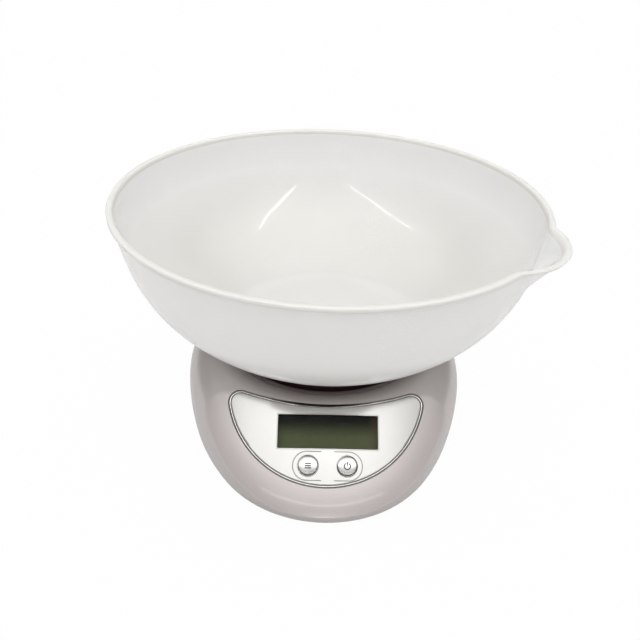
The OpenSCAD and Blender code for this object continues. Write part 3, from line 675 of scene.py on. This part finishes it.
def silver_film():
    """Silver printed film of the display panel, with its keyline and its button brackets."""
    m, at, shader = new_finish("silver_film")
    x, up, _ = facet_place(at, DISPLAY_X)
    # Brackets: half rings left and right, with straight ends that stop short of the middle
    bracket_r, line, soft = 6.6, 0.16, 0.12
    mid = up + BUTTON_S * MM
    side = abs(x) - (BUTTON_PITCH / 2 + 0.6) * MM
    outside = side.ramp(-0.01 * MM, 0.01 * MM)
    ring = within(abs((side * side + mid * mid).root() - bracket_r * MM), line, soft)
    bars = within(abs(abs(mid) - bracket_r * MM), line, soft) * abs(x).ramp(2.9 * MM, 3.1 * MM)
    ink = (ring * outside).most(bars * (1 - outside))
    # Keyline round the display window
    beyond = (abs(x) - WINDOW_W / 2 * MM).most(abs(up + WINDOW_S * MM) - WINDOW_H / 2 * MM)
    keyline = within(abs(beyond - 0.35 * MM), 0.12, 0.18) * 0.55
    grain = at.noise(7000.0, 2.0, 0.6)
    cloudy = at.noise(30.0, 2.0)
    tone = (grain * 0.6 + cloudy * 0.4).ramp(0.3, 0.7)
    base = tone.blend(tint(176, 175, 172), tint(188, 187, 184))
    base = keyline.blend(base, tint(120, 122, 118))
    wire_up(
        shader,
        Base_Color=(ink * 0.8).blend(base, tint(92, 92, 90)),
        Roughness=grain * 0.10 + 0.30 + ink * 0.15,
        Metallic=0.6 - ink * 0.5,
        Normal=bump(grain, 0.08, 0.00003),
        Coat_Weight=0.2,
        Coat_Roughness=0.2,
    )
    return m


def display_cell():
    """Resting liquid crystal display: olive grey, faint unlit figure bars, painted shadow at the
    top.
    """
    m, at, shader = new_finish("display_cell")
    x, up, _ = facet_place(at, DISPLAY_X)
    mid = up + WINDOW_S * MM
    # Four unlit figures of seven bars
    pitch, first, half_w, half_h, soft = 8.6, 2.2, 2.5, 2.6, 0.08
    bar = 0.42
    cell = (x + (first + 50 * pitch) * MM).math("MODULO", pitch * MM) - pitch / 2 * MM
    shown = within(abs(x + first * MM), 2 * pitch - 0.1, 0.1)
    half = abs(mid) - half_h * MM
    upright = (within(abs(abs(cell) - half_w * MM), bar, soft)
               * within(abs(half), half_h - 0.55, 0.1))
    level = (within(abs(abs(half) - half_h * MM), bar, soft)
             * within(abs(cell), half_w - 0.6, 0.1))
    figures = upright.most(level) * shown * 0.10
    grain = at.noise(4000.0, 2.0)
    # Painted shadow, darkening towards the top of the display
    base = mid.ramp(-4 * MM, 6.5 * MM).blend(tint(97, 104, 74), tint(16, 17, 10))
    # Painted warm reflection at the right end
    base = (x.ramp(19 * MM, 24 * MM) * 0.45).blend(base, tint(112, 84, 66))
    base = (grain * 0.05).blend(base, tint(60, 66, 52))
    wire_up(
        shader,
        Base_Color=figures.blend(base, tint(30, 34, 26)),
        Roughness=grain * 0.06 + 0.22,
        Normal=bump(grain, 0.03, 0.00002),
        IOR=1.15,
    )
    return m


def clear_pane():
    """Clear window: nearly invisible, with a slight haze."""
    m, at, shader = new_finish("clear_pane")
    haze = at.noise(900.0, 2.0)
    wire_up(
        shader,
        Base_Color=haze.blend(tint(24, 27, 24), tint(34, 38, 34)),
        Roughness=haze * 0.05 + 0.04,
        Alpha=haze * 0.01 + 0.02,
    )
    return m


def button_mark(at, centre, power):
    """Printed mark of a button: the usual power symbol, or else three short bars."""
    x, up, out = facet_place(at, centre)
    mid, line, soft = up + BUTTON_S * MM, 0.22, 0.1
    if power:
        ring = within(abs((x * x + mid * mid).root() - 1.45 * MM), line, soft)
        gap = within(abs(x), 0.5, 0.1) * mid.ramp(0, soft * MM)
        stroke = within(abs(x), line, soft) * within(abs(mid - 1.25 * MM), 0.85, soft)
        mark = (ring * (1 - gap)).most(stroke)
    else:
        bars = within(abs(abs(abs(mid) - 0.5 * MM) - 0.5 * MM), line, soft)
        mark = bars * within(abs(x), 1.45, soft) * within(abs(mid), 1.3, soft)
    # Only the top of the button is printed
    return mark * out.ramp(-0.2 * MM, 0)


def plated(name, centre=None, power=False):
    """Satin plating with soft wear. A button's has a printed mark at its centre line."""
    m, at, shader = new_finish(name)
    grain = at.noise(3600.0, 3.0, 0.6)
    cloudy = at.noise(210.0, 2.0)
    colour = tint(172, 171, 169)
    tone = (grain * 0.4 + cloudy * 0.6).ramp(0.3, 0.7)
    base = tone.blend(shade(colour, 0.86), shade(colour, 1.1))
    rough = grain * 0.06 + cloudy * 0.06 + 0.16
    metal = 1.0
    if centre is not None:
        mark = button_mark(at, centre, power)
        base = (mark * 0.9).blend(base, tint(34, 33, 32))
        rough = rough + mark * 0.3
        metal = 1 - mark * 0.9
    wire_up(shader, Base_Color=base, Roughness=rough, Metallic=metal,
            Normal=bump(grain * 0.3 + cloudy, 0.05, 0.00002))
    return m


def board_green():
    """Solder mask over copper tracks."""
    m, at, shader = new_finish("board_green")
    border = at.node("ShaderNodeTexVoronoi", {"Vector": at, "Scale": 420.0},
                     feature="DISTANCE_TO_EDGE")
    track = 1 - border.ramp(0.05, 0.12)
    grain = at.noise(3000.0)
    wire_up(
        shader,
        Base_Color=(track * 0.5).blend(tint(26, 92, 56), tint(64, 132, 84)),
        Roughness=grain * 0.1 + 0.28,
        Normal=bump(track, 0.3, 0.00004),
    )
    return m


def battery_sleeve():
    """Plain printed sleeve: a dark body, pale bands and bare metal at the ends."""
    m, at, shader = new_finish("battery_sleeve")
    along = abs(at.parts()[0])
    band = within(abs(along - 14.5 * MM), 2.2, 0.3) * 0.9
    ends = along.ramp(20.3 * MM, 20.6 * MM)
    grain = at.noise(2400.0, 2.0)
    sleeve = band.blend(tint(46, 92, 84), tint(206, 200, 182))
    wire_up(
        shader,
        Base_Color=ends.blend(sleeve, tint(188, 188, 190)),
        Roughness=grain * 0.08 + 0.26,
        Metallic=ends * 0.95,
        Normal=bump(grain, 0.05, 0.00003),
    )
    return m


def spun_metal(name, colour, rough):
    """Bare metal with the fine lines of its working."""
    return moulded(name, colour, rough, metal=1.0, grain=2600.0, cloud=300.0, vary=0.08,
                   relief=0.2, stretch=(0.15, 1, 1))


finishes = {
    "lower_housing": pearl("pearl_tray", shade(PEARL, 0.93)),
    # The pan is painted dark outside the bowl's foot, as painted shade of the gap under the bowl
    "platform_pan": pearl("pearl_pan", shade(PEARL, 0.8), (FOOT_R - 0.15, FOOT_R + 0.15, 1.0)),
    "battery_door": pearl("pearl_door", shade(PEARL, 0.91)),
    "lcd_window": clear_pane(),
    "lcd_glass": display_cell(),
    "lcd_frame": moulded("white_moulding", tint(224, 224, 220), 0.45),
    "zebra_strips": moulded("contact_rubber", tint(40, 40, 42), 0.75, stretch=(1, 6, 1)),
    "circuit_board": board_green(),
    "chip_blob": moulded("black_resin", tint(24, 24, 26), 0.22, relief=0.1),
    "tact_switches": moulded("switch_moulding", tint(52, 52, 56), 0.5),
    "board_screws": spun_metal("zinc_small", tint(176, 176, 180), 0.3),
    "load_cell": spun_metal("milled_aluminium", tint(206, 208, 211), 0.36),
    "load_cell_free_end": spun_metal("milled_aluminium_end", tint(206, 208, 211), 0.36),
    "strain_gauges": moulded("gauge_film", tint(196, 150, 66), 0.4, grain=6000.0, vary=0.14),
    "cell_spacer": spun_metal("stamped_steel", tint(160, 162, 166), 0.42),
    "cell_screws": spun_metal("zinc_large", tint(178, 178, 182), 0.3),
    "carrier_screws": spun_metal("zinc_carrier", tint(178, 178, 182), 0.3),
    "housing_screws": spun_metal("zinc_housing", tint(168, 168, 172), 0.34),
    "platform_carrier": moulded("dark_moulding", tint(96, 96, 100), 0.5),
    "rubber_feet": moulded("foot_rubber", tint(46, 46, 48), 0.82, grain=3200.0, relief=0.5,
                           vary=0.10),
    "batteries": battery_sleeve(),
    "battery_springs": spun_metal("nickel_wire", tint(200, 198, 192), 0.25),
    "battery_plates": spun_metal("nickel_plate", tint(196, 194, 188), 0.3),
    "cell_lead": moulded("red_insulation", tint(176, 48, 42), 0.42),
    "battery_leads": moulded("black_insulation", tint(38, 38, 42), 0.42),
}
for name, finish in finishes.items():
    mats = nodes[name].data.materials
    mats.clear()
    mats.append(finish)

# ---------------------------------------------------------------- base cover and panel
cover = loose("cover_skin", skin)
wall = cover.modifiers.new("wall", "SOLIDIFY")
wall.thickness, wall.offset, wall.use_even_offset = 2.4, -1, False
mesh = cut_mesh(cover, [loose("recess", recess_cutter()), *openings(-12, 0.3)])
# Painted shade on the cover's top round the well: darkest at the well, gone 13 mm beyond its edge,
# where the bowl shades it
lacquer = pearl("pearl_lacquer", painted_shade_ring=(OPEN_R + 13, OPEN_R - 2, 0.85))
cover = keep("base_cover", mesh, "base", lacquer, 34.0)
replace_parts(cover, "upper_housing")
# The floor and the sides of the recess are left without lacquer
mesh.materials.append(bare_recess())
for f in mesh.polygons:
    if in_recess(f.center / MM):
        f.material_index = 1

# Bright bead round the sheet
piece("panel_bead", bead(1.4, 0.35), "base", plated("plating_bead"), 60.0)

# Silver sheet lying in the recess, with its openings
sheet = crescent_grid(1.9, 150, 34, lambda x, up: skin_height(x, up) - sheet_depth(x, up))
sloped_rim(sheet, 0.3, 0.25)
bmesh.ops.solidify(sheet, geom=list(sheet.faces), thickness=SHEET)
bmesh.ops.recalc_face_normals(sheet, faces=sheet.faces)
mesh = cut_mesh(loose("sheet", sheet), openings(-9, 0.45))
panel = keep("panel_sheet", mesh, "base", silver_film(), 30.0)
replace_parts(panel, "panel_overlay")

# ---------------------------------------------------------------- buttons
# Heights on a button: top and drop of the dome, its edge, foot of the side, of the collar, of the
# stem. Then how far the collar stands out, and the stem's radius.
DOME_TOP, DOME_DROP, CAP_EDGE, CAP_FOOT, COLLAR_FOOT, STEM_FOOT = 0.9, 0.62, 0.15, -3.3, -4.3, -5.25
COLLAR, STEM_R = 1.4, 1.6


def button_cap(name, x, node, finish):
    """Domed plated cap with its collar and stem, turned from one profile."""
    r, steps = BUTTON_D / 2, 10
    angles = [t * pi / 2 / steps for t in range(1, steps)]
    profile = [(0, DOME_TOP)] + [(r * sin(a), DOME_TOP - DOME_DROP * (1 - cos(a))) for a in angles]
    profile += [(r, CAP_EDGE), (r, CAP_FOOT), (r + COLLAR, CAP_FOOT), (r + COLLAR, COLLAR_FOOT),
                (STEM_R, COLLAR_FOOT), (STEM_R, STEM_FOOT), (0, STEM_FOOT)]
    cap = set_on_facet(spun(profile, 64), x, -BUTTON_S)
    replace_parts(piece(name, cap, node, finish, 36.0), node)


button_cap("button_cap_left", BUTTON_LEFT, "unit_button", plated("plating_left", BUTTON_LEFT))
button_cap("button_cap_right", BUTTON_RIGHT, "power_button",
           plated("plating_right", BUTTON_RIGHT, True))

# ---------------------------------------------------------------- bowl
# The outer side line from the foot ring up: shares of the bowl's radius and of its height
SIDE = [(0.662, 0.185), (0.761, 0.295), (0.835, 0.400), (0.888, 0.505), (0.925, 0.610),
        (0.950, 0.715), (0.970, 0.840)]
BOWL_SIDE = [tuple(p) for p in resampled(
    [(FOOT_R, FOOT_Z + 0.2), (FOOT_R + 3, FOOT_Z + 0.9), (FOOT_R + 7, FOOT_Z + 3.2)]
    + [(BOWL_R * a, FOOT_Z + (RIM_Z - FOOT_Z) * b) for a, b in SIDE]
    + [(BOWL_R - LIP_OUT, RIM_Z)], 64, 5.0)]


def bowl_radius(z):
    """Outer radius of the wall at a height."""
    for (r0, z0), (r1, z1) in zip(BOWL_SIDE, BOWL_SIDE[1:]):
        if z0 <= z <= z1:
            return r0 + (r1 - r0) * (z - z0) / (z1 - z0)
    return BOWL_R - LIP_OUT


def bowl_profile():
    """The whole section of the bowl: under, up the outside, round the lip and down the inside."""
    inner = []
    for i, p in enumerate(BOWL_SIDE):
        a = Vector(BOWL_SIDE[max(0, i - 1)])
        b = Vector(BOWL_SIDE[min(len(BOWL_SIDE) - 1, i + 1)])
        d = (b - a).normalized()
        inner.append(tuple(Vector(p) + Vector((-d.y, d.x)) * BOWL_WALL))
    lip_low, wall_r = RIM_Z - LIP_H, BOWL_R - LIP_OUT
    outer = [p for p in BOWL_SIDE[1:] if p[1] < lip_low - 0.8]
    inner = [p for p in inner if FOOT_Z + 3.9 < p[1] < RIM_Z - 1.2]
    lip = [(wall_r - 0.05, lip_low - 0.45), (BOWL_R - 0.25, lip_low), (BOWL_R, lip_low + 0.35),
           (BOWL_R, RIM_Z - 0.5), (BOWL_R - 0.35, RIM_Z - 0.08), (BOWL_R - 0.8, RIM_Z),
           (wall_r - BOWL_WALL + 0.75, RIM_Z), (wall_r - BOWL_WALL + 0.25, RIM_Z - 0.25)]
    # The floor stands clear of the platform, inside the foot ring
    under_z = FOOT_Z + 1.5
    floor_z = under_z + BOWL_WALL
    inside = [(FOOT_R - 0.5, floor_z + 0.22), (FOOT_R - 2, floor_z + 0.03), (FOOT_R - 4, floor_z),
              (26, floor_z), (2, floor_z), (0, floor_z)]
    under = [(0, under_z), (26, under_z), (FOOT_R - 4.4, under_z), (FOOT_R - 4, under_z - 0.4),
             (FOOT_R - 4, FOOT_Z + 0.3), (FOOT_R - 3.7, FOOT_Z), (FOOT_R - 0.4, FOOT_Z),
             (FOOT_R, FOOT_Z + 0.3)]
    return under + outer + lip + inner[::-1] + inside


def spout_reach(off, z):
    """How far the spout cone stands out of the rim circle, at an angle from its middle."""
    share = (z - RIM_Z + SPOUT_H) / SPOUT_H
    r = SPOUT_R * (0.3 + 0.7 * max(0, min(1, share)))
    c = BOWL_R + SPOUT_REACH - SPOUT_R
    inside = r * r - (c * sin(off)) ** 2
    return c * cos(off) + sqrt(inside) if inside > 0 else 0


def soft_max(a, b, blend):
    """The larger of two lengths, with a small fillet where they are alike."""
    h = max(0, blend - abs(a - b)) / blend
    return max(a, b) + h * h * blend / 4


# The depth attribute ends at a height over the foot. The spout is looked for only in a part of
# the wall: from a radius and a height on, and within an angle of its middle.
DEPTH_H, SPOUT_FROM_R, SPOUT_FROM_Z, SPOUT_ANGLE, SPOUT_FILLET = 58, 85, 92, 0.6, 1.6
bowl = spun(bowl_profile(), 288)
# The depth attribute carries the painted shade inside the bowl
depth = bowl.verts.layers.float.new("depth")
for v in bowl.verts:
    r, z = hypot(v.co.x, v.co.y), v.co.z
    side_r = bowl_radius(min(z, RIM_Z - 0.01))
    if r < side_r - BOWL_WALL / 2 and z > FOOT_Z + 2.4:
        v[depth] = max(0, 1 - (z - FOOT_Z) / DEPTH_H)
    off = (atan2(v.co.y, v.co.x) - SPOUT_DIR + pi) % (2 * pi) - pi
    if r >= SPOUT_FROM_R and z >= SPOUT_FROM_Z and abs(off) < SPOUT_ANGLE:
        # The wall follows the cone at the same distance as it follows the rim circle
        grow = soft_max(side_r, spout_reach(off, z) - LIP_OUT, SPOUT_FILLET) - side_r
        v.co.xy = Vector(v.co.xy) * ((r + grow) / r)
bmesh.ops.recalc_face_normals(bowl, faces=bowl.faces)
bowl = piece("bowl_shell", bowl, "bowl", bowl_plastic(), 50.0)
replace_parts(bowl, "bowl")

# ---------------------------------------------------------------- floor
bm = bmesh.new()
bmesh.ops.create_grid(bm, x_segments=1, y_segments=1, size=6)
floor = loose("floor", bm)
# White to the camera, darker in mirrors and through the bowl, plain pale paint to all other light
m, at, shader = new_finish("floor_white")
wire_up(shader, Base_Color=tint(220, 219, 218), Roughness=0.7)
glow = at.node("ShaderNodeEmission", {"Color": (1, 1, 1, 1), "Strength": 1.0})
path = at.tree.nodes.new("ShaderNodeLightPath").outputs
seen, mirrored, through = [Wire(at.tree, path["Is %s Ray" % kind])
                           for kind in ("Camera", "Glossy", "Transmission")]
share = (seen * 0.975 + mirrored * 0.25 + through * 0.5).least(1.0)
paint = share.node("ShaderNodeMixShader", [share, Wire(at.tree, shader.outputs[0]), glow])
at.tree.links.new(paint.socket, at.tree.nodes["Material Output"].inputs[0])
floor.data.materials.append(m)

# ---------------------------------------------------------------- light
# A tent of white cloth: bright overhead and in front, dark down at the horizon, and white where
# the camera sees it
world = bpy.data.worlds.new("studio")
bpy.context.scene.world = world
world.use_nodes = True
tree = world.node_tree
_, back_share, up_share = Wire(
    tree, tree.nodes.new("ShaderNodeTexCoord").outputs["Generated"]).parts()
tent = up_share.ramp(0.36, 0.96) * ((-back_share).ramp(-0.5, 0.7) * 0.85 + 1.5) + 0.14
backdrop = Wire(tree, tree.nodes.new("ShaderNodeLightPath").outputs["Is Camera Ray"])
wire_up(tree.nodes["Background"], Color=(1, 1, 1, 1), Strength=tent.most(backdrop))


def softbox(name, place, aim, along, width, length, power):
    """A flat lamp that faces a point, its length laid along a direction. Metres and watts."""
    data = bpy.data.lights.new(name, "AREA")
    data.shape, data.size, data.size_y, data.energy = "RECTANGLE", width, length, power
    o = bpy.data.objects.new(name, data)
    out = (Vector(place) - Vector(aim)).normalized()
    across = Vector(along).cross(out).normalized()
    facing = Matrix((across, out.cross(across), out)).transposed()
    o.matrix_world = Matrix.Translation(place) @ facing.to_4x4()
    bpy.context.scene.collection.objects.link(o)
    return o


IN_BOWL, ON_PANEL = (0, 0, 0.08), (0, -0.09, 0.02)
strips = [
    softbox("strip_left", (-0.44, -0.45, 0.72), IN_BOWL, (-0.2, 1, 0), 0.02, 1.0, 1.1),
    softbox("strip_right", (0.49, -0.5, 0.81), IN_BOWL, (0, 1, 0.1), 0.02, 0.9, 1.1),
]
fronts = [
    softbox("front", (0, -0.78, 1.1), ON_PANEL, (1, 0, 0), 0.2, 1.8, 4.6),
    softbox("front_low", (0, -1.2, 0.70), ON_PANEL, (1, 0, 0), 0.06, 1.7, 1.2),
]
# The front lamps reach only the outside of the base, and the strips only the bowl
for lamps, reach in (
    (fronts, ("base_cover", "panel_sheet", "panel_bead", "button_cap_left", "button_cap_right",
              "lower_housing")),
    (strips, ("bowl_shell",)),
):
    lit = bpy.data.collections.new("lamp_reach")
    for name in reach:
        lit.objects.link(bpy.data.objects[name])
    for lamp in lamps:
        lamp.light_linking.receiver_collection = lit

# ---------------------------------------------------------------- camera
# Camera of the photograph: 280 mm in front of the bowl axis, 238 mm above the floor. The scale
# stands a little turned before it, and the camera looks down by DIP.
TURN, PAN, DIP, ROLL = 0.04, radians(-0.625), radians(33.821), radians(2.323)
DIST, HIGH = 0.27967, 0.237609
# Focal length in pixels of the photograph, which is 640 wide
FOCAL, PHOTO_W, SENSOR = 600.0, 640, 36.0
turn = Matrix.Rotation(-TURN, 3, "Z")
ahead = turn @ Vector((sin(PAN) * cos(DIP), cos(PAN) * cos(DIP), -sin(DIP)))
right = turn @ Vector((cos(PAN), -sin(PAN), 0))
above = right.cross(ahead)
side = right * cos(ROLL) + above * sin(ROLL)
above = above * cos(ROLL) - right * sin(ROLL)
lens = bpy.data.cameras.new("camera")
lens.sensor_fit, lens.sensor_width, lens.lens = "HORIZONTAL", SENSOR, FOCAL / PHOTO_W * SENSOR
lens.clip_start = 0.01
camera = bpy.data.objects.new("camera", lens)
facing = Matrix((side, above, -ahead)).transposed()
camera.matrix_world = Matrix.Translation(turn @ Vector((0, -DIST, HIGH))) @ facing.to_4x4()
bpy.context.scene.collection.objects.link(camera)
bpy.context.scene.camera = camera
bpy.context.scene.view_settings.view_transform = "Standard"
